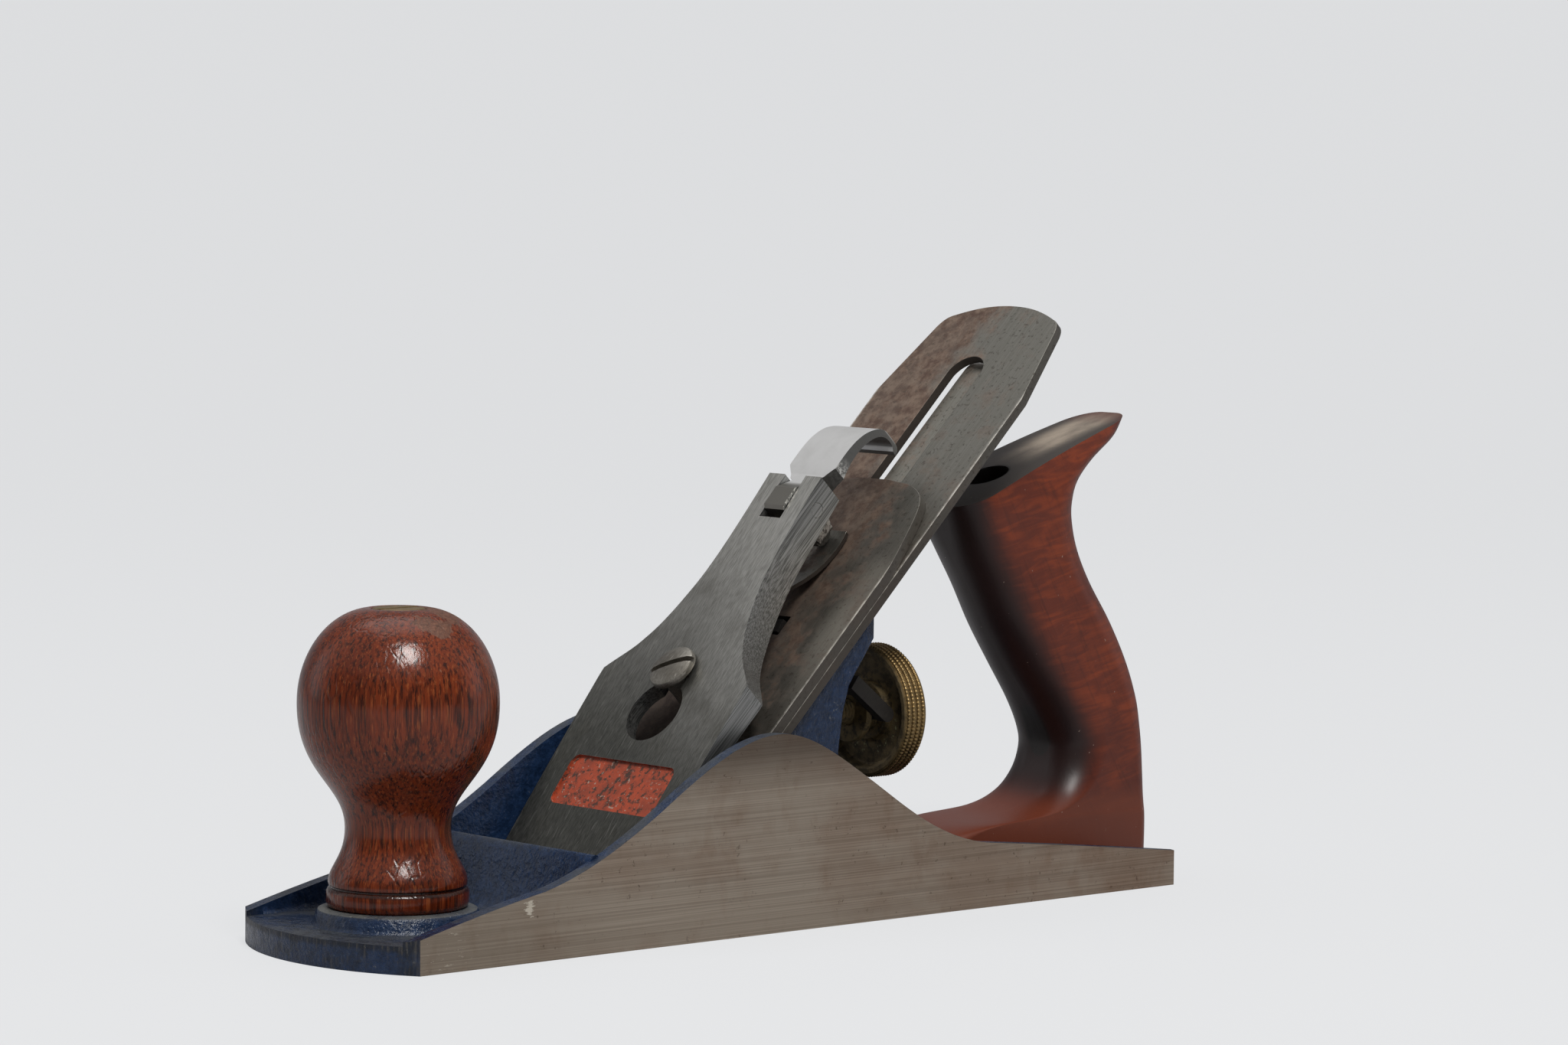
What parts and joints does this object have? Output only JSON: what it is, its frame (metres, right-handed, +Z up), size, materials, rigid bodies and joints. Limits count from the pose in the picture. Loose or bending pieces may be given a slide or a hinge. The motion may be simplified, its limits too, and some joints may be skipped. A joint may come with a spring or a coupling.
{
  "type": "smoothing plane",
  "caption": "Bench smoothing plane: cast body with screwed frog, double iron, lever cap with cam, brass depth wheel, turned knob and shaped tote.",
  "frame": {"origin": "on the underside of the sole, midway along and across the plane", "axes": "+X to the heel, +Y to the far cheek in the picture, +Z up"},
  "size_m": [0.248, 0.064, 0.1391],
  "materials": {
    "blue_enamel": "blue enamel inside, bare ground iron on the sole and cheeks",
    "varnished_wood": "varnished, worn, with crackle",
    "brass": "aged, dark, with knurled ridges",
    "steel": "brown-grey, lightly rusted",
    "bright_steel": "ground, brushed lengthwise",
    "zinc_steel": "plain machined"
  },
  "bodies": {
    "body": {"body_casting": "blue_enamel", "knob": "varnished_wood", "knob_stud": "zinc_steel", "knob_nut": "brass", "tote": "varnished_wood", "tote_stud": "zinc_steel", "tote_nut": "brass", "frog_screws": "zinc_steel", "frog_washers": "zinc_steel"},
    "frog_set": {"frog": "blue_enamel", "frog_clip": "zinc_steel", "frog_clip_screw": "zinc_steel", "yoke_pin": "zinc_steel", "lateral_rivet": "zinc_steel"},
    "frog_adjuster": {"frog_adjusting_screw": "zinc_steel"},
    "stud_carrier": {"depth_stud": "brass"},
    "depth_wheel": {"depth_nut": "brass"},
    "yoke_body": {"yoke": "zinc_steel"},
    "lateral": {"lateral_lever": "steel", "disc_rivet": "zinc_steel"},
    "lateral_roller": {"lateral_disc": "zinc_steel"},
    "iron_pivot": {"lever_cap_screw": "bright_steel"},
    "irons": {"cutter": "steel", "cap_iron": "steel", "cap_iron_screw": "zinc_steel"},
    "cap": {"lever_cap": "bright_steel", "cam_pin": "zinc_steel", "lever_cap_spring": "steel", "spring_rivet": "zinc_steel"},
    "cam": {"cam_lever": "bright_steel"}
  },
  "joints": [
    {"name": "frog_slide", "type": "slide", "parent": "body", "child": "frog_set", "axis": [1, 0, 0], "range_m": [-0.0016, 0.0008]},
    {"name": "frog_screw_turn", "type": "hinge", "parent": "frog_set", "child": "frog_adjuster", "pos_m": [0.02, 0, 0.0135], "axis": [1, 0, 0], "range_deg": [-640, 320]},
    {"name": "nut_travel", "type": "slide", "parent": "frog_set", "child": "stud_carrier", "axis": [1, 0, 0], "range_m": [-0.00196, 0.00131]},
    {"name": "depth_nut_turn", "type": "hinge", "parent": "stud_carrier", "child": "depth_wheel", "pos_m": [0.0412, 0, 0.0442], "axis": [1, 0, 0], "range_deg": [-445, 665]},
    {"name": "yoke_pivot", "type": "hinge", "parent": "frog_set", "child": "yoke_body", "pos_m": [0.02543, 0, 0.05575], "axis": [0, -1, 0], "range_deg": [-9.7, 6.5]},
    {"name": "lateral_swing", "type": "hinge", "parent": "frog_set", "child": "lateral", "pos_m": [0.0326, 0, 0.0799], "axis": [-0.7071, 0, 0.7071], "range_deg": [-5, 5]},
    {"name": "roller_turn", "type": "hinge", "parent": "lateral", "child": "lateral_roller", "pos_m": [0.02482, 0, 0.07212], "axis": [-0.7071, 0, 0.7071], "continuous": true},
    {"name": "iron_swing", "type": "hinge", "parent": "frog_set", "child": "iron_pivot", "pos_m": [-0.00339, 0, 0.04391], "axis": [-0.7071, 0, 0.7071], "range_deg": [-1.39, 1.39]},
    {"name": "iron_slide", "type": "slide", "parent": "iron_pivot", "child": "irons", "axis": [0.7071, 0, 0.7071], "range_m": [-0.00174, 0.0026]},
    {"name": "lever_cap_slide", "type": "slide", "parent": "frog_set", "child": "cap", "axis": [0.7071, 0, 0.7071], "range_m": [0, 0.0106]},
    {"name": "cam_lever_turn", "type": "hinge", "parent": "cap", "child": "cam", "pos_m": [0.01839, 0, 0.09313], "axis": [0, -1, 0], "range_deg": [0, 75]}
  ],
  "couplings": [
    {"joint": "frog_screw_turn", "follows": "frog_slide", "rad_per_m": 6927.4},
    {"joint": "depth_nut_turn", "follows": "iron_slide", "rad_per_m": 4414.9},
    {"joint": "nut_travel", "follows": "iron_slide", "ratio": -0.74341},
    {"joint": "yoke_pivot", "follows": "iron_slide", "rad_per_m": -64.309},
    {"joint": "iron_swing", "follows": "lateral_swing", "ratio": -0.2757}
  ]
}
